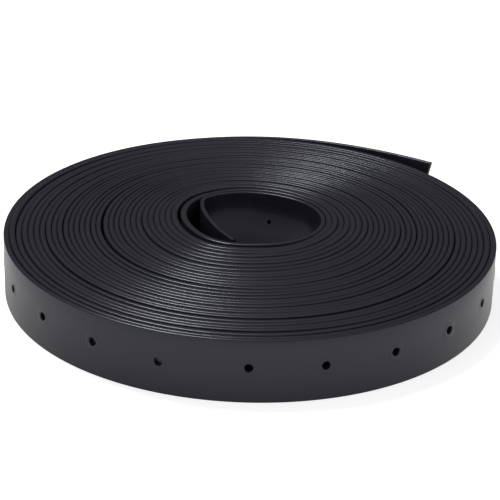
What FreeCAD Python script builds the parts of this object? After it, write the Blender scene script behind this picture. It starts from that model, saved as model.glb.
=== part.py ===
import FreeCAD, Part
import math
import os

# A flat soaker hose, wound on its edge into a flat coil, with two bare cut ends.
# Lengths are in millimetres, angles in degrees. +Z is up. The origin is the middle
# of the coil's box on the surface that it stands on. Seen from above, the hose runs
# inwards counterclockwise from its outer end, and +Y is the back of the coil.

# Section of the hose, pressed flat as it comes off the roll
hose_width = 25.5
wall = 0.75
flat_bore = 0.3
edge_web = 1.25
edge_radius = 0.7
standing_flat = 0.5

# Outlets, punched straight through both walls along the middle
outlet_diameter = 3.2
outlet_pitch = 28.3
first_outlet = 10.2
long_step = 4.0
outlets_before_long_step = 13
drill_overshoot = 0.2

# The winding
outer_radius = 97.5
loops = 24
hub_front = 13.5
hub_back = 35.0
loose_loop = 12
loose_gap = 2.0
least_gap_allowed = 0.4

# The outer free end, from where it leaves the winding
outer_leave_angle = 72.0
outer_runs = (16.5, 17.0)
outer_bend = 15.7

# The inner free end, which crosses the hub to the front wall
inner_wrap = 45.0
inner_bend_radius = 8.0
inner_bend = 62.0
inner_first_run = 9.0
inner_second_bend = 10.0
inner_tip_clearance = 0.3

# An arc between two straight runs takes this share of the shorter run
arc_share = 0.45
points_per_leg = 24

# Sizes that follow from those above
hose_thickness = 2 * wall + flat_bore
half_thickness = hose_thickness / 2
standing_height = hose_width - standing_flat
bore_width = hose_width - 2 * edge_web
opened_bore = 2 * (bore_width + flat_bore) / math.pi
end_run = opened_bore
outer_line = outer_radius - half_thickness
back_pitch = (outer_line - hub_back - half_thickness) / loops
front_pitch = (outer_line - hub_front - half_thickness - loose_gap) / (loops - 1)
winding_x = back_pitch / 4


def back_line(loop):
    """Distance from the winding's axis to the middle of the hose at the back."""
    return outer_line - loop * back_pitch


def front_line(loop):
    """The same at the front, where one loop stands off from the loop outside it."""
    extra = loose_gap if loop >= loose_loop else 0.0
    return outer_line - loop * front_pitch - extra


def direction(heading):
    """Unit vector in the floor's plane."""
    angle = math.radians(heading)
    return FreeCAD.Vector(math.cos(angle), math.sin(angle), 0)


class Leg:
    """A straight run, or an arc that bends left for a plus bend and right for a minus."""

    def __init__(self, start, heading, length, bend):
        self.start = start
        self.heading = heading
        self.length = length
        self.bend = bend

    def heading_at(self, distance):
        return self.heading + self.bend * distance / self.length

    def radius(self):
        """Signed radius: plus to the left of the heading."""
        return self.length / math.radians(self.bend)

    def centre(self):
        return self.start + direction(self.heading + 90) * self.radius()

    def point_at(self, distance):
        if self.bend == 0:
            return self.start + direction(self.heading) * distance
        return self.centre() - direction(self.heading_at(distance) + 90) * self.radius()

    def edge(self):
        end = self.point_at(self.length)
        if self.bend == 0:
            return Part.LineSegment(self.start, end).toShape()
        return Part.Arc(self.start, self.point_at(self.length / 2), end).toShape()

    def distance_from(self, point):
        """Shortest distance from a point to this leg's middle line."""
        ends = min(point.distanceToPoint(self.start), point.distanceToPoint(self.point_at(self.length)))
        offset = point - self.start
        if self.bend == 0:
            along = offset.dot(direction(self.heading))
            beside = abs(offset.dot(direction(self.heading + 90)))
            return beside if 0 <= along <= self.length else ends
        arm = point - self.centre()
        side = math.copysign(1, self.bend)
        seen_from_centre = math.degrees(math.atan2(arm.y, arm.x))
        turned = (seen_from_centre - (self.heading - 90 * side)) * side % 360
        on_arc = turned <= abs(self.bend)
        return min(abs(arm.Length - abs(self.radius())), ends) if on_arc else ends


class Route:
    """Legs laid end to end, each one tangent to the one before it."""

    def __init__(self, start, heading):
        self.end = start
        self.heading = heading
        self.legs = []

    def add(self, length, bend):
        leg = Leg(self.end, self.heading, length, bend)
        self.legs.append(leg)
        self.end = leg.point_at(length)
        self.heading += bend

    def straight(self, length):
        self.add(length, 0)

    def arc(self, radius, bend):
        self.add(radius * math.radians(abs(bend)), bend)

    def cornered_runs(self, first, second, bend):
        """Two straight runs and the largest tangent arc that they allow."""
        tangent = arc_share * min(first, second)
        radius = tangent / math.tan(math.radians(abs(bend) / 2))
        self.straight(first - tangent)
        self.arc(radius, bend)
        self.straight(second - tangent)
        return radius

    def length(self):
        return sum(leg.length for leg in self.legs)

    def reversed(self):
        """The same way walked from its other end."""
        other = Route(self.end, self.heading + 180)
        for leg in reversed(self.legs):
            other.add(leg.length, -leg.bend)
        return other

    def place_at(self, distance):
        """Point and heading at a distance along the route."""
        for leg in self.legs:
            if distance <= leg.length:
                return leg.point_at(distance), leg.heading_at(distance)
            distance -= leg.length
        return self.end, self.heading

    def wire(self):
        return Part.Wire([leg.edge() for leg in self.legs])


def section_frame(point, heading):
    """Maps a place across the hose and a height to a point in space."""
    across = direction(heading + 90)
    return lambda side, height: point + across * side + FreeCAD.Vector(0, 0, height)


def outer_section(point, heading):
    """Outline of the hose: rounded edges, cut flat where the hose stands."""
    at = section_frame(point, heading)
    inner = half_thickness - edge_radius
    top_centre = standing_height - edge_radius
    foot_centre = edge_radius - standing_flat
    foot_angle = math.asin(foot_centre / edge_radius)
    foot = inner + edge_radius * math.cos(foot_angle)
    half_foot = foot_angle / 2
    diagonal = edge_radius * math.sqrt(0.5)
    bulge = inner + edge_radius * math.cos(half_foot)
    bulge_height = foot_centre - edge_radius * math.sin(half_foot)

    def top_corner(side):
        return [
            at(side * half_thickness, top_centre),
            at(side * (inner + diagonal), top_centre + diagonal),
            at(side * inner, standing_height),
        ]

    def foot_corner(side):
        return [
            at(side * foot, 0),
            at(side * bulge, bulge_height),
            at(side * half_thickness, foot_centre),
        ]

    right_foot = foot_corner(-1)
    left_foot = foot_corner(1)
    right_top = top_corner(-1)
    left_top = top_corner(1)
    edges = [
        Part.LineSegment(left_foot[0], right_foot[0]).toShape(),
        Part.Arc(*right_foot).toShape(),
        Part.LineSegment(right_foot[2], right_top[0]).toShape(),
        Part.Arc(*right_top).toShape(),
        Part.LineSegment(right_top[2], left_top[2]).toShape(),
        Part.Arc(*reversed(left_top)).toShape(),
        Part.LineSegment(left_top[0], left_foot[2]).toShape(),
        Part.Arc(*reversed(left_foot)).toShape(),
    ]
    return Part.Wire(edges)


def bore_section(point, heading):
    """Outline of the flattened bore."""
    at = section_frame(point, heading)
    side = flat_bore / 2
    foot = edge_web - standing_flat
    top = foot + bore_width
    corners = [at(-side, foot), at(side, foot), at(side, top), at(-side, top), at(-side, foot)]
    return Part.makePolygon(corners)


def hollow_sweep(route):
    """The hose along a route: outer skin, bore and two holed end faces in one solid."""
    spine = route.wire()
    first = (route.legs[0].start, route.legs[0].heading)
    last = (route.end, route.heading)
    skin = spine.makePipeShell([outer_section(*first)], False, False)
    bore = spine.makePipeShell([bore_section(*first)], False, False)
    caps = [Part.Face([outer_section(*place), bore_section(*place)]) for place in (first, last)]
    shell = Part.makeShell(skin.Faces + bore.Faces + caps)
    shell.sewShape()
    solid = Part.makeSolid(shell)
    if solid.Volume < 0:
        solid.reverse()
    return solid


def section_area():
    """Wall area of the section, for comparing volumes."""
    origin = FreeCAD.Vector(0, 0, 0)
    return Part.Face([outer_section(origin, 0), bore_section(origin, 0)]).Area


def outlet_distances(total):
    """Distances of the outlets from the outer tip."""
    distances = []
    distance = first_outlet
    while distance < total - first_outlet / 2:
        distances.append(distance)
        distance += outlet_pitch
        if len(distances) == outlets_before_long_step:
            distance += long_step
    return distances


def outlet_drills(route, start, distances):
    """Punches for the outlets that fall on a route that starts at a distance from the tip."""
    reach = half_thickness + drill_overshoot
    middle = hose_width / 2 - standing_flat
    drills = []
    for distance in distances:
        along = distance - start
        if 0 < along < route.length():
            point, heading = route.place_at(along)
            across = direction(heading + 90)
            base = point - across * reach + FreeCAD.Vector(0, 0, middle)
            drills.append(Part.makeCylinder(outlet_diameter / 2, 2 * reach, base, across))
    return drills


def least_gap(legs):
    """Least clear space between the hose and itself, on points along each leg."""
    least = float("inf")
    for index, leg in enumerate(legs):
        for step in range(points_per_leg + 1):
            point = leg.point_at(leg.length * step / points_per_leg)
            for other in legs[index + 2:]:
                least = min(least, other.distance_from(point) - hose_thickness)
    return least


def winding_route():
    """The wound hose, from its outer straight end to the straight end in the hub."""
    axis = FreeCAD.Vector(winding_x, 0, 0)
    leave = axis + direction(outer_leave_angle) * outer_line
    outward = Route(leave, outer_leave_angle - 90)
    outward.straight(end_run)
    route = outward.reversed()
    route.arc(outer_line, 90 - outer_leave_angle)
    for loop in range(loops):
        route.arc((back_line(loop) + front_line(loop)) / 2, 180)
        route.arc((front_line(loop) + back_line(loop + 1)) / 2, 180)
    route.arc(hub_wall_radius() - back_pitch, inner_wrap)
    route.arc(inner_bend_radius, inner_bend)
    route.straight(end_run)
    return route


def hub_wall_radius():
    """Radius of the middle line of the hub's left wall."""
    return (back_line(loops - 1) + front_line(loops - 1)) / 2


def outer_end_route(winding):
    """The outer free end, from its tip to the winding."""
    start = winding.legs[0]
    outward = Route(start.start, start.heading + 180)
    radius = outward.cornered_runs(*outer_runs, -outer_bend)
    return outward.reversed(), radius


def inner_end_route(winding):
    """The inner free end, from the winding to a tip that just clears the front wall."""
    heading = winding.heading + inner_second_bend
    corner = winding.end + direction(winding.heading) * inner_first_run
    outer_corner = corner + direction(heading - 90) * half_thickness
    hub_centre = FreeCAD.Vector(winding_x, back_line(loops - 1) - hub_wall_radius(), 0)
    reach = hub_wall_radius() - half_thickness - inner_tip_clearance
    offset = outer_corner - hub_centre
    along = offset.dot(direction(heading))
    second_run = -along + math.sqrt(along ** 2 + reach ** 2 - offset.dot(offset))
    route = Route(winding.end, winding.heading)
    radius = route.cornered_runs(inner_first_run, second_run, inner_second_bend)
    return route, radius


def build_node(name, route, start, distances):
    """One stretch of the hose with its outlets, saved under its name."""
    plain = hollow_sweep(route)
    expected = section_area() * route.length()
    print(f"{name}: volume {plain.Volume:.1f}, section times length {expected:.1f}, length {route.length():.1f}")
    drills = outlet_drills(route, start, distances)
    solid = plain.cut(drills).Solids[0] if drills else plain
    print(f"{name}: {len(drills)} outlets, {len(solid.Faces)} faces, valid {solid.isValid()}")
    solid.exportStep(f"parts/{name}.step")
    return solid


def build():
    os.makedirs("parts", exist_ok=True)
    winding = winding_route()
    outer_end, outer_arc = outer_end_route(winding)
    inner_end, inner_arc = inner_end_route(winding)
    total = outer_end.length() + winding.length() + inner_end.length()
    distances = outlet_distances(total)
    gap = least_gap(winding.legs)
    print(f"hose length {total:.0f}, opened bore {opened_bore:.2f}, outlets {len(distances)}")
    print(f"pitch at the back {back_pitch:.3f}, at the front {front_pitch:.3f}")
    print(f"least gap of the winding to itself {gap:.3f}, enough {gap > least_gap_allowed}")
    print(f"free end arc radii: outer {outer_arc:.1f}, inner {inner_arc:.1f}")
    build_node("outer_free_end", outer_end, 0, distances)
    build_node("hose_coil", winding, outer_end.length(), distances)
    build_node("inner_free_end", inner_end, outer_end.length() + winding.length(), distances)


build()
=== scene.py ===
"""A flat soaker hose, wound on its edge into a coil, dressed around its CAD frame.

The hose is made the way the real one is: it is moulded flat as one long strip, its
outlets are punched, and the strip is then wound along a spiral. Sizes are in
millimetres unless a name says otherwise, and meshes are in metres.
"""

import logging
import math
from collections.abc import Callable
from dataclasses import dataclass, field
from enum import Enum

import bmesh
import bpy
import numpy as np
from bmesh.types import BMEdge, BMesh, BMFace, BMVert
from bpy.types import ID, Material, Mesh, Node, NodeSocket, NodeTree, Object
from mathutils import Matrix, Vector, noise

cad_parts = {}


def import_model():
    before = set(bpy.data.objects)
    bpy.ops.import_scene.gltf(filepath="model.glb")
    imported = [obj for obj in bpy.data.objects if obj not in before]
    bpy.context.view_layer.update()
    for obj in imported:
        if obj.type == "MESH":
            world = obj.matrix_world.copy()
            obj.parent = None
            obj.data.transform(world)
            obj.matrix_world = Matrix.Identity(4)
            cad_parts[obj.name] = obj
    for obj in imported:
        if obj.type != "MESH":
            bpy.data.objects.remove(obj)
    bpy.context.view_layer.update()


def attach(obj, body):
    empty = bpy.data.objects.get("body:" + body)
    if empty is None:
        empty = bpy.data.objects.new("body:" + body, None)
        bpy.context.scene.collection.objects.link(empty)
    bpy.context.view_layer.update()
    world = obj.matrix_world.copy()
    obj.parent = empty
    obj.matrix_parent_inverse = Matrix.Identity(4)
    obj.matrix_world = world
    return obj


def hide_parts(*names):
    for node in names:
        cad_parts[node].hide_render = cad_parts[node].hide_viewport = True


MM = 0.001  # metres in a millimetre
NEAR = 0.01  # millimetres within which two points of a strip count as one
RANKS = 8192  # more steps of that size than fit twice into the hose's width
PLACES = 4  # decimals to which a tile's points are rounded
RING_START = 0.01  # angle in radians past which the first point of an outlet's ring lies
TURN_STEP = 0.001  # turns on each side of a point over which its direction is taken
CUT_FINISH = 1  # number of the cut rubber among a piece's materials
LOG = logging.getLogger("soaker_hose")

Colour = tuple[float, float, float, float]


def linear(hex_colour: str) -> Colour:
    """Turn an sRGB hex colour into a linear one.

    Args:
        hex_colour: six hex digits with a leading hash.

    Returns:
        Linear red, green, blue and an alpha of one.
    """
    parts = [int(hex_colour[i : i + 2], 16) / 255 for i in (1, 3, 5)]
    red, green, blue = (c / 12.92 if c <= 0.04045 else ((c + 0.055) / 1.055) ** 2.4 for c in parts)
    return red, green, blue, 1.0


def direction(degrees: float) -> Vector:
    """Unit vector on the floor's plane, turned from +X."""
    turned = math.radians(degrees)
    return Vector((math.cos(turned), math.sin(turned), 0.0))


def add_object(name: str, data: ID) -> Object:
    """Make an object and put it into the scene.

    Args:
        name: name of the object.
        data: its mesh, lamp or camera.

    Returns:
        The object.
    """
    made = bpy.data.objects.new(name, data)
    bpy.context.scene.collection.objects.link(made)
    return made


def input_key(name: str) -> int | str:
    """An input's number, from a name such as i6, or its name, from one with low lines for spaces."""
    return int(name[1:]) if name[0] == "i" and name[1:].isdigit() else name.replace("_", " ")


def add_node(tree: NodeTree, kind: str, settings: dict | None = None, **links: NodeSocket) -> Node:
    """Add one shader node.

    Args:
        tree: node tree that the node goes into.
        kind: the node's type name.
        settings: attributes of the node, and values of its inputs by their names or numbers.
        links: output sockets by the names or numbers of the inputs that they feed.

    Returns:
        The new node.
    """
    node = tree.nodes.new(kind)
    for name, value in (settings or {}).items():
        key = input_key(name)
        if isinstance(key, int) or key in node.inputs:
            node.inputs[key].default_value = value
        else:
            setattr(node, name, value)
    for name, socket in links.items():
        tree.links.new(socket, node.inputs[input_key(name)])
    return node


def new_material(name: str) -> Material:
    """Make a material whose node tree is still empty.

    Args:
        name: name of the material.

    Returns:
        The material.
    """
    material = bpy.data.materials.new(name)
    material.use_nodes = True
    material.node_tree.nodes.clear()
    return material


class Reach(Enum):
    """How finely a stretch of hose is meshed, by what can be seen of it."""

    OUTER_TURN = "outer turn"
    BURIED_WIDE = "buried, wide turns"
    BURIED_TIGHT = "buried, tight turns"
    HUB_TURN = "hub turn"


class Opening(Enum):
    """How far an outlet goes through the hose."""

    NONE = "no outlet"
    THROUGH = "through both walls"
    OUTER_WALL = "through the outer wall only"


@dataclass(frozen=True)
class Grain:
    """Mesh density of one tile of hose.

    Attributes:
        block_columns: columns across the square round an outlet.
        side_columns: columns on each side of that square.
        lip_side: face that shows the outlet's lip: -1 outer, 1 inner, 0 none.
        far_mouth: width of the outlet in the inner wall, as a share of the outlet's own.
    """

    block_columns: int
    side_columns: int
    lip_side: int
    far_mouth: float = 1.0


GRAINS: dict[Reach, Grain] = {
    Reach.OUTER_TURN: Grain(block_columns=4, side_columns=4, lip_side=-1),
    Reach.BURIED_WIDE: Grain(block_columns=2, side_columns=2, lip_side=0),
    Reach.BURIED_TIGHT: Grain(block_columns=2, side_columns=3, lip_side=0),
    Reach.HUB_TURN: Grain(block_columns=4, side_columns=10, lip_side=0, far_mouth=0.55),
}


@dataclass(frozen=True)
class Section:
    """The hose cut across, pressed flat and standing on its edge.

    Attributes:
        width: width of the flat hose.
        foot_cut: how much of its lower edge is pressed away where the hose stands.
        thickness: both walls and the flat bore together, where nothing squeezes them.
        edge_radius: size of the rounding along the edges.
        edge_flatness: how high the top edge's rounding is, as a share of a round one.
        edge_steps: faces round each rounded corner.
        bore_width: width of the flat bore.
        bore_gap: height of the flat bore.
    """

    width: float = 25.5
    foot_cut: float = 0.5
    thickness: float = 1.8
    edge_radius: float = 0.87
    edge_flatness: float = 0.5
    edge_steps: int = 4
    bore_width: float = 23.0
    bore_gap: float = 0.3

    @property
    def height(self) -> float:
        """Height of the standing hose."""
        return self.width - self.foot_cut

    @property
    def middle(self) -> float:
        """Height of the middle of the hose, where the outlets are."""
        return self.width / 2 - self.foot_cut


@dataclass(frozen=True)
class Outlets:
    """The row of outlets, punched through both walls, but for two in the outer wall only.

    Attributes:
        radius: radius of the hole.
        pitch: usual step between two outlets.
        first: distance of the first one from the outer tip.
        longer_steps: what the step after an outlet is longer by: (its number, extra length).
        half_done: numbers of the outlets that open the outer wall only.
        block: side of the square of mesh round an outlet.
        block_rows: rows of faces in that square.
        rings: the lip from its foot to the hole: (distance from the hole's edge, height).
        pocket: depth of a hole that opens the outer wall only.
    """

    radius: float = 1.6
    pitch: float = 28.287
    first: float = 10.2
    longer_steps: tuple[tuple[int, float], ...] = (
        (2, 2.7), (4, 1.8), (6, 1.8), (10, -1.4), (11, -1.0), (12, -1.0), (13, 4.3),
        (14, -0.7), (15, -0.3), (16, -0.7), (17, -1.2), (22, 4.4), (220, -2.2), (221, -2.9),
    )
    half_done: tuple[int, ...] = (12, 13)
    block: float = 6.4
    block_rows: int = 4
    rings: tuple[tuple[float, float], ...] = (
        (1.45, 0.0), (1.2, 0.07), (0.9, 0.11), (0.55, 0.07), (0.2, 0.02), (0.05, -0.06), (0.0, -0.25),
    )
    pocket: float = 1.25

    def places(self, total: float) -> list[float]:
        """Distances of the outlets from the hose's outer tip.

        Args:
            total: length of the hose.

        Returns:
            The distances, rising.
        """
        found: list[float] = []
        longer = dict(self.longer_steps)
        distance = self.first
        while distance < total - self.block:
            found.append(distance)
            distance += self.pitch + longer.get(len(found), 0.0)
        return found

    def opening(self, number: int) -> Opening:
        """How far an outlet goes through, by its number from the outer tip."""
        return Opening.OUTER_WALL if number in self.half_done else Opening.THROUGH


@dataclass(frozen=True)
class LooseTurn:
    """A place where the winding steps inwards and leaves a gap outside the next turn.

    Attributes:
        turn: turns from the start at which half of the step is done.
        gap: size of the step.
        side: direction of the widest gap, in degrees from +X.
        rise: how much higher the turns just inside the gap stand.
        spread: turns that the step takes.
        settle: turns over which the rise fades.
    """

    turn: float
    gap: float
    side: float
    rise: float = 0.0
    spread: float = 0.6
    settle: float = 2.5

    def done(self, turn: float) -> float:
        """Share of the step that is done at a number of turns from the start."""
        share = min(max((turn - self.turn) / self.spread + 0.5, 0.0), 1.0)
        return share * share * (3 - 2 * share)

    def facing(self, angle: float) -> float:
        """How fully the gap opens in a direction, from 0 to 1."""
        return 0.5 + 0.5 * math.cos(math.radians(angle - self.side))

    def step(self, turn: float, angle: float) -> float:
        """Inward shift of the hose at a number of turns, in a direction."""
        return self.gap * self.done(turn) * self.facing(angle)

    def lift(self, turn: float, angle: float) -> float:
        """Rise of the hose's top edge at a number of turns, in a direction."""
        inside = max(turn - self.turn - self.spread / 2, 0.0)
        return self.rise * self.done(turn) * self.facing(angle) * math.exp(-inside / self.settle)


@dataclass(frozen=True)
class Sway:
    """A broad outward shift of the turns between the rim and the hub.

    Attributes:
        waves: half waves from the rim to the hub.
        mean: shift all round.
        right: further shift towards +X.
        back: further shift towards +Y.
    """

    waves: int
    mean: float
    right: float = 0.0
    back: float = 0.0

    def shift(self, share: float, angle: float) -> float:
        """Outward shift of the hose.

        Args:
            share: share of the turns that are done.
            angle: direction, in degrees from +X.

        Returns:
            The shift.
        """
        turned = math.radians(angle)
        size = self.mean + self.right * math.cos(turned) + self.back * math.sin(turned)
        return size * math.sin(self.waves * math.pi * share)


@dataclass(frozen=True)
class Winding:
    """The spiral that the middle line of the hose follows, seen from above.

    Attributes:
        rim: distance from the axis to the hose where the winding starts.
        turns: turns from the back of the rim to where the hose crosses the hub.
        start_angle: direction in which the free outer end meets the rim, in degrees from +X.
        hub_mean: mean distance from the axis to the hub's oval.
        hub_waves: waves on that oval: (how many, size of the cosine, size of the sine).
        sways: broad shifts of the turns between the rim and the hub.
        loose: places where the turns lie loose.
        wander: how much the distance from the axis wanders at the back.
        front_wander: how much more it wanders at the front.
        wander_seed: place in the noise at which the wander starts.
        wander_rate: how fast the wander changes from turn to turn.
        step: rough distance between two points of the line.
        outer_tip: place of the outer tip.
        outer_tip_heading: direction of the hose at that tip, in degrees from +X.
        tail_fullness: reach of the free end's curve handles, as a share of its span.
        hub_line: points of the hose's way through the hub: (x, y, direction in degrees,
            reach of the handle at the point before, reach of the handle at this one).
    """

    rim: float = 96.95
    turns: float = 31.08
    start_angle: float = 110.0
    hub_mean: float = 24.75
    hub_waves: tuple[tuple[int, float, float], ...] = (
        (1, 1.15, 11.19), (2, -0.4, 0.02), (3, 0.66, 0.11), (4, -0.34, 0.24),
    )
    sways: tuple[Sway, ...] = (Sway(waves=1, mean=1.58, right=0.2, back=-2.1), Sway(waves=2, mean=-1.12))
    loose: tuple[LooseTurn, ...] = (
        LooseTurn(turn=0.65, gap=-0.45, side=330.0, spread=0.3),
        LooseTurn(turn=1.65, gap=0.45, side=330.0, spread=0.5),
        LooseTurn(turn=3.0, gap=0.12, side=280.0, rise=0.2),
        LooseTurn(turn=7.0, gap=0.4, side=290.0, rise=0.4),
        LooseTurn(turn=8.5, gap=0.15, side=95.0, rise=0.2),
        LooseTurn(turn=10.0, gap=0.15, side=215.0),
        LooseTurn(turn=11.0, gap=0.2, side=320.0, rise=0.3),
        LooseTurn(turn=12.3, gap=0.25, side=110.0, rise=0.3),
        LooseTurn(turn=14.3, gap=0.25, side=10.0, spread=0.5),
        LooseTurn(turn=15.0, gap=0.35, side=240.0, rise=0.2),
        LooseTurn(turn=16.55, gap=0.3, side=120.0),
        LooseTurn(turn=17.0, gap=0.75, side=240.0, rise=0.2),
        LooseTurn(turn=24.0, gap=0.35, side=280.0, rise=0.3),
        LooseTurn(turn=28.6, gap=0.3, side=105.0, rise=0.5),
        LooseTurn(turn=29.9, gap=1.8, side=180.0, spread=0.5),
    )
    wander: float = 0.03
    front_wander: float = 0.12
    wander_seed: float = 4.7
    wander_rate: float = 0.83
    step: float = 1.0
    outer_tip: tuple[float, float] = (76.1, 72.5)
    outer_tip_heading: float = 145.5
    tail_fullness: float = 0.378
    hub_line: tuple[tuple[float, float, float, float, float], ...] = (
        (-20.2, 23.5, 271.0, 3.5, 4.0),
        (-14.9, 3.2, 291.0, 7.0, 7.0),
        (-6.5, -11.8, 302.0, 5.5, 5.5),
    )

    def angle(self, turn: float) -> float:
        """Direction from the axis at a number of turns past the back."""
        return 90.0 + 360.0 * turn

    def hub_radius(self, angle: float) -> float:
        """Distance from the axis to the hub's oval.

        Args:
            angle: direction, in degrees from +X.

        Returns:
            The distance.
        """
        turned = math.radians(angle)
        waves = (a * math.cos(n * turned) + b * math.sin(n * turned) for n, a, b in self.hub_waves)
        return self.hub_mean + sum(waves)

    def radius(self, turn: float) -> float:
        """Distance from the axis to the hose.

        Args:
            turn: turns past the back.

        Returns:
            The distance.
        """
        angle = self.angle(turn)
        whole = sum(item.step(self.turns, angle) for item in self.loose)
        inwards = (self.rim - self.hub_radius(angle) - whole) * turn / self.turns
        inwards += sum(item.step(turn, angle) for item in self.loose)
        inwards -= sum(item.shift(turn / self.turns, angle) for item in self.sways)
        turned = math.radians(angle)
        front = 0.5 - 0.5 * math.sin(turned)
        ripple = noise.noise(Vector((math.cos(turned), math.sin(turned),
                                     turn * self.wander_rate + self.wander_seed)))
        # The wander grows over the first turn and fades over the last one.
        fade = min(max(turn, 0.0), 1.0) * min(max(self.turns - turn, 0.0), 1.0)
        return self.rim - inwards + ripple * fade * (self.wander + self.front_wander * front)

    def spiral_point(self, turn: float) -> Vector:
        """Point of the middle line at a number of turns past the back."""
        return direction(self.angle(turn)) * self.radius(turn)

    def heading(self, turn: float) -> Vector:
        """Unit direction of travel inwards at a number of turns past the back."""
        return (self.spiral_point(turn + TURN_STEP) - self.spiral_point(turn - TURN_STEP)).normalized()

    def line(self) -> "Route":
        """Draw the whole middle line.

        Returns:
            The line, from the outer tip to the tip in the hub.
        """
        start_turn = (self.start_angle - 90.0) / 360.0
        leave, leave_heading = self.spiral_point(start_turn), self.heading(start_turn)
        tip = Vector((*self.outer_tip, 0.0))
        tip_heading = direction(self.outer_tip_heading)
        reach = (leave - tip).length * self.tail_fullness
        points = bezier(tip, tip + tip_heading * reach, leave - leave_heading * reach, leave, self.step)
        turn = start_turn
        turns = [turn] * len(points)
        while turn < self.turns:
            points.append(self.spiral_point(turn))
            turns.append(turn)
            turn += self.step / (2 * math.pi * self.radius(turn))
        here, heading = self.spiral_point(self.turns), self.heading(self.turns)
        for x, y, degrees, leave_handle, arrive_handle in self.hub_line:
            there = Vector((x, y, 0.0))
            arrive = direction(degrees)
            points += bezier(here, here + heading * leave_handle,
                             there - arrive * arrive_handle, there, self.step / 2)
            here, heading = there, arrive
        points.append(here)
        turns += [self.turns] * (len(points) - len(turns))
        return Route(np.array([point.xy for point in points]), np.array(turns))

    def room(self, turn: float) -> float:
        """Distance to the nearer of the two turns beside the hose.

        Args:
            turn: turns past the back.

        Returns:
            The distance.
        """
        found = []
        if turn - 1 >= 0:
            found.append(self.radius(turn - 1) - self.radius(turn))
        if turn + 1 <= self.turns:
            found.append(self.radius(turn) - self.radius(turn + 1))
        return min(found)


def bezier(start: Vector, first: Vector, second: Vector, end: Vector, step: float) -> list[Vector]:
    """Points along a cubic curve, without its last one.

    Args:
        start: first end.
        first: handle of the first end.
        second: handle of the last end.
        end: last end.
        step: rough distance between the points.

    Returns:
        The points.
    """
    count = max(4, round((end - start).length / step))
    found = []
    for index in range(count):
        t = index / count
        u = 1 - t
        found.append(start * u**3 + first * (3 * u * u * t) + second * (3 * u * t * t) + end * t**3)
    return found


class Route:
    """A line on the floor's plane, measured by the distance along it."""

    def __init__(self, points: np.ndarray, turns: np.ndarray) -> None:
        """Measure the line and find its left-hand normals.

        Args:
            points: the line's points, one row each.
            turns: turns from the start of the winding at each point.
        """
        self.turns = turns
        steps = np.linalg.norm(np.diff(points, axis=0), axis=1)
        self.points = points
        self.along = np.concatenate([[0.0], np.cumsum(steps)])
        tangent = np.gradient(points, self.along, axis=0)
        tangent /= np.linalg.norm(tangent, axis=1)[:, None]
        self.left = np.stack([-tangent[:, 1], tangent[:, 0]], axis=1)
        self.length = float(self.along[-1])

    def read(self, values: np.ndarray, distance: np.ndarray) -> np.ndarray:
        """Interpolate rows of values, one for each of the line's points, at distances along it."""
        return np.stack([np.interp(distance, self.along, column) for column in values.T], axis=1)


@dataclass(frozen=True)
class Slack:
    """How the soft hose stands once it is wound: not quite level, straight or flat.

    Attributes:
        lift: how much the top edge differs in height from place to place.
        lift_seed: place in the noise at which the lift starts.
        lift_spread: how fast the lift changes round the coil.
        lift_rate: how fast the lift changes from turn to turn.
        lean: how far the top of the free outer end leans outwards at its tip.
        lean_reach: length of hose over which that lean fades out.
        least_gap: gap that two turns keep between them.
        flattest: thickness with the bore pressed shut, where the turns are tight.
        fullest: thickness to which the bore opens, where the winding leaves it room.
        swell_fade: length over which the free ends take up their own thickness.
        cut_slope: how much the cut of the outer tip runs back for each millimetre down.
        cut_reach: length of hose that takes part in that slope.
        row: rise of the row of outlets at places along the outer turn: (distance, rise).
    """

    lift: float = 0.45
    lift_seed: float = 11.3
    lift_spread: float = 0.8
    lift_rate: float = 0.9
    lean: float = 1.3
    lean_reach: float = 110.0
    least_gap: float = 0.13
    flattest: float = 1.57
    fullest: float = 2.6
    swell_fade: float = 30.0
    cut_slope: float = 0.2
    cut_reach: float = 7.0
    row: tuple[tuple[float, float], ...] = (
        (0.0, 0.0), (230.0, 0.4), (271.0, 0.85), (298.0, 1.3), (325.0, 1.3), (352.0, 0.6),
        (385.0, 1.85), (413.0, 1.55), (441.0, 1.5), (470.0, 1.45), (497.0, 1.45), (560.0, 0.8),
        (11900.0, 0.5), (12050.0, 0.1),
    )

    def along(self, winding: Winding, route: Route, section: Section) -> np.ndarray:
        """Find the hose's shape at each point of its route.

        Args:
            winding: the winding, for the room between turns.
            route: the hose's line.
            section: the hose's section.

        Returns:
            One row for each point: lift, lean, share of the thickness and rise of the outlets.
        """
        lifts, shares = [], []
        for (x, y), turn in zip(route.points, route.turns):
            side, angle = Vector((x, y)).normalized(), winding.angle(turn)
            uneven = noise.noise(Vector((side.x * self.lift_spread, side.y * self.lift_spread,
                                         turn * self.lift_rate + self.lift_seed)))
            lifts.append(self.lift * uneven + sum(item.lift(turn, angle) for item in winding.loose))
            room = winding.room(turn) - self.least_gap
            swollen = min(max(room, self.flattest), self.fullest) / section.thickness - 1
            # Over the last turn, which is free on its inner side, the hose takes its own thickness.
            shares.append(1 + swollen * min(winding.turns - turn, 1.0))
        free = np.minimum(route.along, route.length - route.along)
        settled = np.clip(free / self.swell_fade - 1, 0, 1)
        shares = 1 + (np.array(shares) - 1) * settled
        leaning = np.clip(1 - route.along / self.lean_reach, 0, 1) ** 2
        rise = np.interp(route.along, *zip(*self.row))
        return np.stack([np.array(lifts) * settled, leaning * self.lean, shares, rise], axis=1)


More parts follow.
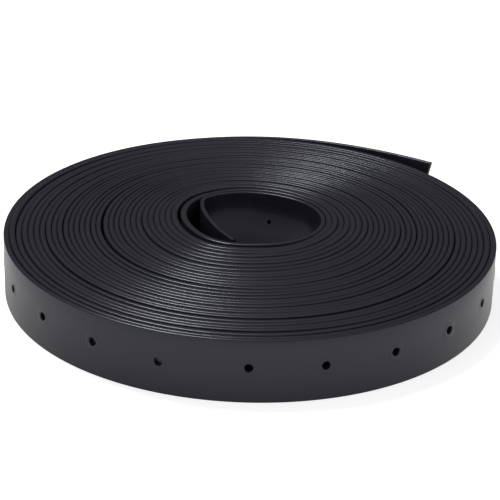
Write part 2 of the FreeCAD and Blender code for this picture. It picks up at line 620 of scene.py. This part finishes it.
@dataclass
class FlatHose:
    """Moulds and punches the hose as a straight strip, tile by tile.

    Attributes:
        section: the hose's section.
        outlets: the row of outlets.
        templates: the tiles made so far, by their lengths, grain and opening.
    """

    section: Section
    outlets: Outlets
    templates: dict[tuple, Mesh] = field(default_factory=dict)

    def tile(self, before: float, after: float, grain: Grain, opening: Opening) -> Mesh:
        """One stretch of the strip, with its outlet at the origin.

        Args:
            before: length before the outlet.
            after: length after the outlet.
            grain: mesh density.
            opening: how far the outlet goes through.

        Returns:
            An open skin with its ends cut square.
        """
        key = (round(before, 4), round(after, 4), grain, opening)
        if key not in self.templates:
            bm = self.skin(before, after, grain)
            if opening is not Opening.NONE:
                self.punch(bm, grain, opening)
            self.put_in_order(bm)
            mesh = bpy.data.meshes.new("hose_tile")
            bm.to_mesh(mesh)
            bm.free()
            self.templates[key] = mesh
        return self.templates[key]

    def put_in_order(self, bm: BMesh) -> None:
        """Round a mesh's points and order its parts by their places, which is else left to chance.

        Args:
            bm: a tile, or a strip with a bare end.
        """

        def rank(point: Vector) -> int:
            """One number for a place: along the strip first, then up, then through the walls."""
            x, y, z = (round(value / NEAR) for value in point)
            return (x * RANKS + z) * RANKS + y

        for vert in bm.verts:
            vert.co = [round(value, PLACES) for value in vert.co]
        bm.verts.sort(key=lambda v: rank(v.co))
        bm.edges.sort(key=lambda e: rank(e.verts[0].co + e.verts[1].co))
        bm.faces.sort(key=lambda f: rank(f.calc_center_median()))

    def rectangle(self, bm: BMesh, x: float, depth: float, width: float) -> BMFace:
        """Draw a filled rectangle on a plane across the strip, round the middle of the hose.

        Args:
            bm: mesh that the rectangle goes into.
            x: distance of the plane along the strip.
            depth: size of the rectangle through the walls.
            width: size of the rectangle from edge to edge of the hose.

        Returns:
            The rectangle's face.
        """
        unit_to_section = Matrix(((0, 0, 1, 0), (depth, 0, 0, 0), (0, width, 0, 0), (0, 0, 0, 1)))
        place = Matrix.Translation((x, 0, self.section.middle)) @ unit_to_section
        square = bmesh.ops.create_grid(bm, x_segments=1, y_segments=1, size=0.5, matrix=place)
        return square["verts"][0].link_faces[0]

    def outline(self, bm: BMesh, x: float) -> None:
        """Draw the filled outline of the section on a plane across the strip.

        Args:
            bm: an empty mesh.
            x: distance of the plane along the strip.
        """
        size = self.section
        self.rectangle(bm, x, size.thickness, size.width)
        bmesh.ops.bevel(bm, geom=bm.verts[:], offset=size.edge_radius, offset_type="OFFSET",
                        segments=size.edge_steps, profile=0.5, affect="VERTICES", material=-1)
        for vert in bm.verts:
            drop = size.height - vert.co.z
            if drop < size.edge_radius + NEAR:
                vert.co.z = size.height - drop * size.edge_flatness
        bmesh.ops.bisect_plane(bm, geom=bm.verts[:] + bm.edges[:] + bm.faces[:], plane_co=(0, 0, 0),
                               plane_no=(0, 0, 1), clear_inner=True)

    def skin(self, before: float, after: float, grain: Grain) -> BMesh:
        """Sweep the outline along the strip and cut its rows and columns.

        Args:
            before: length before the outlet.
            after: length after the outlet.
            grain: mesh density.

        Returns:
            An open skin without its outlet.
        """
        bm = bmesh.new()
        self.outline(bm, -before)
        outline = bm.edges[:]
        start = bm.faces[:]
        swept = bmesh.ops.extrude_edge_only(bm, edges=outline)["geom"]
        bmesh.ops.delete(bm, geom=start, context="FACES_ONLY")
        new_verts = [item for item in swept if isinstance(item, BMVert)]
        bmesh.ops.translate(bm, verts=new_verts, vec=(before + after, 0, 0))
        half = self.outlets.block / 2
        rows = np.linspace(-half, half, self.outlets.block_rows + 1) + self.section.middle
        columns = list(np.linspace(-half, half, grain.block_columns + 1))
        for reach, side in ((before, -1), (after, 1)):
            spare = np.linspace(half, reach, grain.side_columns + 1)[1:-1]
            columns += [side * value for value in spare]
        for axis, values in (((0, 0, 1), rows), ((1, 0, 0), columns)):
            for value in values:
                bmesh.ops.bisect_plane(bm, geom=bm.verts[:] + bm.edges[:] + bm.faces[:],
                                       plane_co=Vector(axis) * float(value), plane_no=axis)
        return bm

    def punch(self, bm: BMesh, grain: Grain, opening: Opening) -> None:
        """Open the outlet, with a soft lip on the side that shows.

        Args:
            bm: the tile.
            grain: mesh density.
            opening: how far the outlet goes through.
        """
        size, hole = self.section, self.outlets
        half = hole.block / 2
        wall = size.thickness / 2
        centre = Vector((0, 0, size.middle))

        def inside(point: Vector, slack: float) -> bool:
            """Whether a point lies in the outlet's square."""
            return abs(point.x) < half + slack and abs(point.z - centre.z) < half + slack

        mouths: list[list[BMEdge]] = []
        for side in (-1, 1) if opening is Opening.THROUGH else (-1,):
            square = [f for f in bm.faces
                      if f.calc_center_median().y * side > 0 and inside(f.calc_center_median(), 0)]
            bmesh.ops.delete(bm, geom=square, context="FACES")
            loop = [e for e in bm.edges if e.is_boundary
                    and all(v.co.y * side > 0 and inside(v.co, NEAR) for v in e.verts)]
            radius = hole.radius * (grain.far_mouth if side > 0 else 1)
            for beyond, height in hole.rings if grain.lip_side == side else ((0.0, 0.0),):
                loop = self.inner_ring(bm, loop, radius + beyond, side * (wall + height))
            mouths.append(loop)
        if opening is Opening.THROUGH:
            far = [v for e in mouths[1] for v in e.verts]
            tube = self.inner_ring(bm, mouths[0], hole.radius * grain.far_mouth, far[0].co.y)
            seam = dict.fromkeys(far + [v for e in tube for v in e.verts])
            bmesh.ops.remove_doubles(bm, verts=list(seam), dist=NEAR)
        else:
            pocket = self.inner_ring(bm, mouths[0], hole.radius, hole.pocket - wall)
            bmesh.ops.edgeloop_fill(bm, edges=pocket)

    def inner_ring(self, bm: BMesh, loop: list[BMEdge], radius: float, y: float) -> list[BMEdge]:
        """Grow a band of faces from an open loop round the outlet to a circle.

        Args:
            bm: the tile.
            loop: edges of the open loop.
            radius: radius of the circle.
            y: where the circle stands across the hose.

        Returns:
            The circle's edges.
        """
        grown = bmesh.ops.extrude_edge_only(bm, edges=loop)["geom"]
        circle = [item for item in grown if isinstance(item, BMEdge) and item.is_boundary]
        middle = self.section.middle
        verts = sorted({v for e in circle for v in e.verts},
                       key=lambda v: (math.atan2(v.co.z - middle, v.co.x) - RING_START) % (2 * math.pi))
        for place, vert in enumerate(verts, 1):
            turned = 2 * math.pi * place / len(verts)
            vert.co = (radius * math.cos(turned), y, middle + radius * math.sin(turned))
        return circle

    def strip(self, start: float, end: float, total: float,
              reach_at: Callable[[float], Reach]) -> BMesh:
        """Lay tiles end to end between two places on the hose.

        Args:
            start: distance of the first cut from the outer tip.
            end: distance of the last cut from the outer tip.
            total: length of the whole hose.
            reach_at: gives the Reach at a distance.

        Returns:
            An open strip, still flat.
        """
        half = self.outlets.block / 2
        numbered = enumerate(self.outlets.places(total), 1)
        places = [(place, self.outlets.opening(number)) for number, place in numbered
                  if start + half < place < end - half]
        places = places or [((start + end) / 2, Opening.NONE)]
        cuts = [start] + [(a + b) / 2 for (a, _), (b, _) in zip(places, places[1:])] + [end]
        bm = bmesh.new()
        for (place, opening), first, last in zip(places, cuts, cuts[1:]):
            mesh = self.tile(place - first, last - place, GRAINS[reach_at(place)], opening)
            known = len(bm.verts)
            bm.from_mesh(mesh)
            bm.verts.ensure_lookup_table()
            bmesh.ops.translate(bm, verts=bm.verts[known:], vec=(place, 0, 0))
        bmesh.ops.remove_doubles(bm, verts=bm.verts[:], dist=NEAR)
        return bm

    def close_end(self, bm: BMesh, x: float, inwards: float) -> None:
        """Close one end of a strip, with the flattened bore in it where it is a bare cut.

        Args:
            bm: the strip.
            x: distance of the cut.
            inwards: how deep the bore is moulded, along the strip; 0 leaves it out.
        """
        rim = [e for e in bm.edges if e.is_boundary and all(abs(v.co.x - x) < NEAR for v in e.verts)]
        if not inwards:
            bmesh.ops.edgeloop_fill(bm, edges=rim)
            return
        mouth = self.rectangle(bm, x, self.section.bore_gap, self.section.bore_width)
        edges = list(mouth.edges)
        bore = bmesh.ops.extrude_face_region(bm, geom=[mouth])["geom"]
        bottom = [item for item in bore if isinstance(item, BMVert)]
        bmesh.ops.translate(bm, verts=bottom, vec=(inwards, 0, 0))
        leftover = [f for f in bm.faces if set(f.edges) == set(edges)]
        bmesh.ops.delete(bm, geom=leftover, context="FACES_ONLY")
        for face in bmesh.ops.bridge_loops(bm, edges=rim + edges)["faces"]:
            face.material_index = CUT_FINISH
        self.put_in_order(bm)


@dataclass
class HoseStretch:
    """One named stretch of the wound hose.

    Attributes:
        name: name of the piece.
        node: CAD node that it stands for.
        start: distance of its first cut from the outer tip.
        end: distance of its last cut.
        bare_start: whether the first cut is a bare end of the hose.
        bare_end: whether the last cut is a bare end of the hose.
        bore_depth: how deep the flat bore is moulded behind a bare end.
        sharp_angle: angle between faces, in degrees, from which an edge shows sharp.
    """

    name: str
    node: str
    start: float
    end: float
    bare_start: bool = False
    bare_end: bool = False
    bore_depth: float = 6.0
    sharp_angle: float = 42.0

    def build(self, flat: FlatHose, route: Route, shape: np.ndarray, slack: Slack,
              reach_at: Callable[[float], Reach]) -> Object:
        """Mould, punch and wind this stretch.

        Args:
            flat: the strip's tools.
            route: line that the whole hose follows.
            shape: lift, lean, thickness and rise at each point of the route.
            slack: slope of the cut at the outer tip.
            reach_at: gives the Reach at a distance.

        Returns:
            The finished piece.
        """
        bm = flat.strip(self.start, self.end, route.length, reach_at)
        flat.close_end(bm, self.start, self.bore_depth if self.bare_start else 0.0)
        flat.close_end(bm, self.end, -self.bore_depth if self.bare_end else 0.0)
        bmesh.ops.recalc_face_normals(bm, faces=bm.faces[:])
        mesh = bpy.data.meshes.new(self.name)
        bm.to_mesh(mesh)
        bm.free()
        self.wind(mesh, route, shape, flat.section, slack)
        mesh.polygons.foreach_set("use_smooth", [True] * len(mesh.polygons))
        mesh.set_sharp_from_angle(angle=math.radians(self.sharp_angle))
        piece = add_object(self.name, mesh)
        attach(piece, "root")
        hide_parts(self.node)
        return piece

    def wind(self, mesh: Mesh, route: Route, shape: np.ndarray, size: Section,
             slack: Slack) -> None:
        """Bend a flat strip along the route, and keep each point's place on the flat strip.

        Args:
            mesh: the flat strip.
            route: line that the hose follows.
            shape: lift, lean, thickness and rise at each point of the route.
            size: the hose's section.
            slack: slope of the cut at the outer tip.
        """
        flat = np.empty(len(mesh.vertices) * 3)
        mesh.vertices.foreach_get("co", flat)
        flat = flat.reshape(-1, 3)
        along, across, up = flat.T
        cut_share = np.clip(1 - along / slack.cut_reach, 0, 1)
        along = along + slack.cut_slope * (size.height - up) * cut_share
        lift, lean, share, rise = route.read(shape, along).T
        level = up / size.height
        near_row = np.clip(1 - ((up - size.middle) / size.middle) ** 2, 0, 1)
        left = route.read(route.left, along)
        left /= np.linalg.norm(left, axis=1)[:, None]
        aside = across * share - lean * level**2
        wound = np.empty_like(flat)
        wound[:, :2] = route.read(route.points, along) + left * aside[:, None]
        wound[:, 2] = up + rise * near_row + lift * level
        mesh.vertices.foreach_set("co", (wound * MM).ravel())
        on_strip = mesh.attributes.new("on_strip", "FLOAT_VECTOR", "POINT")
        on_strip.data.foreach_set("vector", (flat * MM).ravel())
        mesh.update()


@dataclass(frozen=True)
class BlackHoseRubber:
    """Soft black blend of rubber and plastic, extruded.

    It gives the eye a deep black with a cool cast, and a satin shine that is drawn out along
    the hose in faint lines from the die and broken by a fine grain.

    Attributes:
        name: name of the material.
        body: colour of the rubber.
        faded: colour of its paler patches.
        patch_size: size of those patches.
        sheen_of_film: tint of the shine, cool from the film that the extruder leaves.
        ior: index of refraction of rubber.
        roughness: mean roughness, satin.
        roughness_swing: difference between the dullest and the glossiest lines.
        line_width: width of a line, as coarse as it needs to show.
        line_length: length over which a line changes.
        line_detail: octaves of noise in the lines.
        line_depth: depth of the lines.
        grain_size: size of the grain.
        grain_depth: depth of the grain.
        fine_detail: octaves of noise in the grain and the patches.
    """

    name: str = "extruded_black_hose_rubber"
    body: str = "#21202a"
    faded: str = "#272630"
    patch_size: float = 40.0
    sheen_of_film: str = "#f0ecff"
    ior: float = 1.52
    roughness: float = 0.26
    roughness_swing: float = 0.08
    line_width: float = 0.9
    line_length: float = 60.0
    line_detail: float = 3.0
    line_depth: float = 0.01
    grain_size: float = 0.5
    grain_depth: float = 0.005
    fine_detail: float = 2.0

    def material(self) -> Material:
        """Build the material, with its pattern laid out on the flat strip.

        Returns:
            The material.
        """
        material = new_material(self.name)
        tree = material.node_tree
        strip = add_node(tree, "ShaderNodeAttribute", {"attribute_name": "on_strip"}).outputs["Vector"]
        along, across = 1 / (self.line_length * MM), 1 / (self.line_width * MM)
        stretched = add_node(tree, "ShaderNodeMapping", {"Scale": (along, across, across)}, Vector=strip)
        lines = add_node(tree, "ShaderNodeTexNoise", {"Scale": 1.0, "Detail": self.line_detail},
                         Vector=stretched.outputs["Vector"])
        grain = add_node(tree, "ShaderNodeTexNoise",
                         {"Scale": 1 / (self.grain_size * MM), "Detail": self.fine_detail}, Vector=strip)
        patches = add_node(tree, "ShaderNodeTexNoise",
                           {"Scale": 1 / (self.patch_size * MM), "Detail": self.fine_detail}, Vector=strip)
        colour = add_node(tree, "ShaderNodeMix",
                          {"data_type": "RGBA", "i6": linear(self.body), "i7": linear(self.faded)},
                          i0=patches.outputs["Fac"])
        low, high = self.roughness - self.roughness_swing / 2, self.roughness + self.roughness_swing / 2
        rough = add_node(tree, "ShaderNodeMapRange", {"To Min": low, "To Max": high},
                         Value=lines.outputs["Fac"])
        drawn = add_node(tree, "ShaderNodeBump", {"Strength": 1.0, "Distance": self.line_depth * MM},
                         Height=lines.outputs["Fac"])
        grained = add_node(tree, "ShaderNodeBump", {"Strength": 1.0, "Distance": self.grain_depth * MM},
                           Height=grain.outputs["Fac"], Normal=drawn.outputs["Normal"])
        shader = add_node(tree, "ShaderNodeBsdfPrincipled",
                          {"IOR": self.ior, "Specular Tint": linear(self.sheen_of_film)},
                          Base_Color=colour.outputs[2], Roughness=rough.outputs["Result"],
                          Normal=grained.outputs["Normal"])
        add_node(tree, "ShaderNodeOutputMaterial", None, Surface=shader.outputs["BSDF"])
        return material


@dataclass(frozen=True)
class CutHoseRubber:
    """The same rubber where a blade has cut it.

    It gives the eye a duller and slightly greyer black, with the fine drag marks of a knife.

    Attributes:
        name: name of the material.
        body: colour of the rubber.
        shaded: its colour in the drag marks.
        ior: index of refraction.
        roughness: roughness, dull.
        drag_width: width of the drag marks.
        drag_depth: depth of the drag marks.
        drag_detail: octaves of noise in the drag marks.
    """

    name: str = "knife_cut_hose_rubber"
    body: str = "#26262a"
    shaded: str = "#1f1f22"
    ior: float = 1.5
    roughness: float = 0.62
    drag_width: float = 0.35
    drag_depth: float = 0.03
    drag_detail: float = 2.0

    def material(self) -> Material:
        """Build the material.

        Returns:
            The material.
        """
        material = new_material(self.name)
        tree = material.node_tree
        place = add_node(tree, "ShaderNodeTexCoord").outputs["Object"]
        drag = add_node(tree, "ShaderNodeTexNoise",
                        {"Scale": 1 / (self.drag_width * MM), "Detail": self.drag_detail}, Vector=place)
        shade = add_node(tree, "ShaderNodeMix",
                         {"data_type": "RGBA", "i6": linear(self.body), "i7": linear(self.shaded)},
                         i0=drag.outputs["Fac"])
        bump = add_node(tree, "ShaderNodeBump", {"Distance": self.drag_depth * MM},
                        Height=drag.outputs["Fac"])
        shader = add_node(tree, "ShaderNodeBsdfPrincipled", {"Roughness": self.roughness, "IOR": self.ior},
                          Base_Color=shade.outputs[2], Normal=bump.outputs["Normal"])
        add_node(tree, "ShaderNodeOutputMaterial", None, Surface=shader.outputs["BSDF"])
        return material


@dataclass
class SoakerHose:
    """The whole hose: its winding, its three stretches and their finishes.

    Attributes:
        section: the hose cut across.
        outlets: the row of outlets.
        winding: the spiral that the hose follows.
        slack: how it stands once it is wound.
        outer_free: length of the free outer end.
        inner_free: length of the free end in the hub.
        shown_turns: turns from the rim, and from the hub, whose outlets can be seen.
        tight_radius: distance from the axis inside which the turns need a finer mesh.
    """

    section: Section = field(default_factory=Section)
    outlets: Outlets = field(default_factory=Outlets)
    winding: Winding = field(default_factory=Winding)
    slack: Slack = field(default_factory=Slack)
    outer_free: float = 33.4
    inner_free: float = 19.8
    shown_turns: float = 1.15
    tight_radius: float = 52.0

    def build(self) -> list[Object]:
        """Make the hose's pieces and dress them.

        Returns:
            The pieces, from the outer end inwards.
        """
        route = self.winding.line()
        outlet_count = len(self.outlets.places(route.length))
        LOG.info("the hose is %.0f mm long with %d outlets", route.length, outlet_count)
        shape = self.slack.along(self.winding, route, self.section)
        radii = np.linalg.norm(route.points, axis=1)

        def reach_at(distance: float) -> Reach:
            """What can be seen of the hose at one place.

            Args:
                distance: distance of the place from the outer tip.

            Returns:
                How finely it has to be meshed.
            """
            turn = float(np.interp(distance, route.along, route.turns))
            if turn < self.shown_turns:
                return Reach.OUTER_TURN
            if turn > self.winding.turns - self.shown_turns:
                return Reach.HUB_TURN
            tight = np.interp(distance, route.along, radii) < self.tight_radius
            return Reach.BURIED_TIGHT if tight else Reach.BURIED_WIDE

        flat = FlatHose(self.section, self.outlets)
        inner_start = route.length - self.inner_free
        stretches = [
            HoseStretch("outer_end", "outer_free_end", 0.0, self.outer_free, bare_start=True),
            HoseStretch("coil", "hose_coil", self.outer_free, inner_start),
            HoseStretch("inner_end", "inner_free_end", inner_start, route.length, bare_end=True),
        ]
        finishes = [BlackHoseRubber().material(), CutHoseRubber().material()]
        pieces = []
        for stretch in stretches:
            piece = stretch.build(flat, route, shape, self.slack, reach_at)
            for finish in finishes:
                piece.data.materials.append(finish)
            pieces.append(piece)
        for template in flat.templates.values():
            bpy.data.meshes.remove(template)
        return pieces


@dataclass(frozen=True)
class Softbox:
    """A square studio lamp that is aimed at the coil.

    Attributes:
        name: name of the lamp.
        place: place of the lamp, in metres.
        size: side of the lamp, in metres.
        power: power, in watts.
        colour: colour of its light.
    """

    name: str
    place: tuple[float, float, float]
    size: float
    power: float
    colour: str = "#ffffff"

    def build(self) -> None:
        """Hang the lamp and aim it."""
        data = bpy.data.lights.new(self.name, "AREA")
        data.shape = "SQUARE"
        data.size = self.size
        data.energy = self.power
        data.color = linear(self.colour)[:3]
        lamp = add_object(self.name, data)
        lamp.location = self.place
        lamp.rotation_mode = "QUATERNION"
        lamp.rotation_quaternion = (-Vector(self.place)).to_track_quat("-Z", "Y")


@dataclass(frozen=True)
class Studio:
    """White floor, soft surround and one soft lamp.

    Attributes:
        floor_size: side of the floor, in metres.
        floor_colour: colour of the paper.
        floor_glow: what the camera sees on top of the lit paper, so that it is white.
        painted_shade_reach: reach of the ambient occlusion that paints shade into the floor's glow in what
            mirrors it, in metres.
        mirrored_level: light of the open floor in what mirrors it.
        painted_shade_power: how strongly that painted shade darkens a covered place in what mirrors it.
        behind: light of the surround behind the object: (height of the direction, light).
        before: light of the surround before the object, given in the same way.
        turns_before: how far forwards a direction points where the front begins to show.
        all_before: how far forwards it points where only the front shows.
        lamps: the lamps.
    """

    floor_size: float = 12.0
    floor_colour: str = "#f4f4f4"
    floor_glow: float = 0.72
    painted_shade_reach: float = 0.06
    mirrored_level: float = 1.08
    painted_shade_power: float = 1.1
    behind: tuple[tuple[float, float], ...] = (
        (0.0, 0.1), (0.3, 0.05), (0.36, 0.06), (0.41, 0.19), (0.5, 0.19), (0.6, 0.1), (0.85, 0.35),
    )
    before: tuple[tuple[float, float], ...] = ((0.0, 0.08), (0.3, 0.18), (0.6, 0.42), (1.0, 0.5))
    turns_before: float = -0.1
    all_before: float = 0.3
    lamps: tuple[Softbox, ...] = (
        Softbox("key_softbox", place=(-0.27, 0.28, 0.98), size=0.3, power=5.5, colour="#f7fff6"),
    )

    def paper(self) -> Material:
        """Build the floor's paper: white to the camera, with the object's shadow on it.

        What mirrors the floor sees it glowing at a plain level, with painted shade from ambient occlusion
        where the object covers it.

        Returns:
            The material.
        """
        material = new_material("white_paper_floor")
        tree = material.node_tree
        path = add_node(tree, "ShaderNodeLightPath")
        paper = add_node(tree, "ShaderNodeBsdfDiffuse", {"Color": linear(self.floor_colour)})
        level = add_node(tree, "ShaderNodeMath", {"operation": "MULTIPLY", "i1": self.floor_glow},
                         i0=path.outputs["Is Camera Ray"])
        glow = add_node(tree, "ShaderNodeEmission", None, Strength=level.outputs[0])
        seen = add_node(tree, "ShaderNodeAddShader", None, i0=paper.outputs[0], i1=glow.outputs[0])
        # Painted shade: ambient occlusion darkens the floor's glow, as mirrors see it, where the object
        # covers the floor.
        painted_shade_occlusion = add_node(tree, "ShaderNodeAmbientOcclusion", {"Distance": self.painted_shade_reach})
        painted_shade_openness = add_node(tree, "ShaderNodeMath", {"operation": "POWER", "i1": self.painted_shade_power},
                            i0=painted_shade_occlusion.outputs["AO"])
        painted_shade_image_level = add_node(tree, "ShaderNodeMath", {"operation": "MULTIPLY", "i1": self.mirrored_level},
                               i0=painted_shade_openness.outputs[0])
        image = add_node(tree, "ShaderNodeEmission", None, Strength=painted_shade_image_level.outputs[0])
        mirrored = add_node(tree, "ShaderNodeMath", {"operation": "MAXIMUM"},
                            i0=path.outputs["Is Glossy Ray"], i1=path.outputs["Is Transmission Ray"])
        both = add_node(tree, "ShaderNodeMixShader", None, i0=mirrored.outputs[0],
                        i1=seen.outputs[0], i2=image.outputs[0])
        add_node(tree, "ShaderNodeOutputMaterial", None, Surface=both.outputs[0])
        return material

    def floor(self) -> None:
        """Lay the floor."""
        bm = bmesh.new()
        bmesh.ops.create_grid(bm, x_segments=1, y_segments=1, size=self.floor_size / 2)
        mesh = bpy.data.meshes.new("studio_floor")
        bm.to_mesh(mesh)
        bm.free()
        floor = add_object("studio_floor", mesh)
        mesh.materials.append(self.paper())

    def surround(self) -> None:
        """Light the room: dim behind the object, with two paler bands, and pale before it."""
        world = bpy.data.worlds.new("studio_surround")
        bpy.context.scene.world = world
        world.use_nodes = True
        tree = world.node_tree
        tree.nodes.clear()
        way = add_node(tree, "ShaderNodeTexCoord").outputs["Generated"]
        parts = add_node(tree, "ShaderNodeSeparateXYZ", None, Vector=way)
        levels = []
        for side in (self.behind, self.before):
            ramp = add_node(tree, "ShaderNodeValToRGB", None, Fac=parts.outputs["Z"])
            stops = ramp.color_ramp.elements
            while len(stops) < len(side):
                stops.new(1.0)
            for stop, (height, light) in zip(stops, side):
                stop.position = height
                stop.color = (light, light, light, 1.0)
            levels.append(ramp.outputs["Color"])
        front = add_node(tree, "ShaderNodeMapRange",
                         {"From Min": -self.turns_before, "From Max": -self.all_before},
                         Value=parts.outputs["Y"])
        room = add_node(tree, "ShaderNodeMix", {"data_type": "RGBA"},
                        i0=front.outputs["Result"], i6=levels[0], i7=levels[1])
        backdrop = add_node(tree, "ShaderNodeBackground", None, Color=room.outputs[2])
        add_node(tree, "ShaderNodeOutputWorld", None, Surface=backdrop.outputs[0])

    def build(self) -> None:
        """Set up the floor, the surround and the lamps."""
        self.floor()
        self.surround()
        for lamp in self.lamps:
            lamp.build()
        bpy.context.scene.view_settings.view_transform = "Standard"


@dataclass(frozen=True)
class PhotoCamera:
    """The camera at the photograph's place: in front, 25 degrees above the floor.

    Attributes:
        picture: width of the picture, in pixels.
        focal: focal length, in pixels of that picture.
        coil_at: where the coil's middle falls in the picture, in pixels.
        sensor: width of the sensor.
        elevation: angle of the view above the floor, in degrees.
        distance: distance from the coil's middle.
        roll: turn of the camera about its own axis, in degrees.
        coil_middle: height of the coil's middle.
        nearest: nearest distance that the camera sees, in metres.
        farthest: farthest distance that it sees, in metres.
    """

    picture: float = 500.0
    focal: float = 1931.5
    coil_at: tuple[float, float] = (250.29, 255.93)
    sensor: float = 36.0
    elevation: float = 25.087
    distance: float = 770.4
    roll: float = 1.671
    coil_middle: float = 12.5
    nearest: float = 0.01
    farthest: float = 50.0

    def stand(self) -> Matrix:
        """Find the camera's place and direction, with the coil's middle where the photo has it.

        Returns:
            The camera's matrix, in metres.
        """
        rise, turn = math.radians(self.elevation), math.radians(self.roll)
        back = Vector((0, -math.cos(rise), math.sin(rise)))
        level = Vector((1, 0, 0))
        upright = back.cross(level)
        right = level * math.cos(turn) + upright * math.sin(turn)
        up = upright * math.cos(turn) - level * math.sin(turn)
        target = Vector((0, 0, self.coil_middle))
        place = target + back * self.distance
        beside, below = ((at - self.picture / 2) / self.focal for at in self.coil_at)
        aim = target - right * beside * self.distance + up * below * self.distance
        away = (place - aim).normalized()
        right = (right - away * right.dot(away)).normalized()
        turned = Matrix((right, away.cross(right), away)).transposed()
        return Matrix.Translation(place * MM) @ turned.to_4x4()

    def build(self) -> None:
        """Place the camera and make it the scene's own."""
        data = bpy.data.cameras.new("photo_camera")
        data.sensor_width = self.sensor
        data.lens = self.focal * self.sensor / self.picture
        data.clip_start, data.clip_end = self.nearest, self.farthest
        camera = add_object("photo_camera", data)
        camera.matrix_world = self.stand()
        bpy.context.scene.camera = camera


def main() -> None:
    """Load the frame, build the hose and the studio, and note the sizes."""
    logging.basicConfig(level=logging.INFO, format="%(message)s")
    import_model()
    for piece in SoakerHose().build():
        LOG.info("%s: %d faces", piece.name, len(piece.data.polygons))
    Studio().build()
    PhotoCamera().build()


if __name__ == "__main__":
    main()
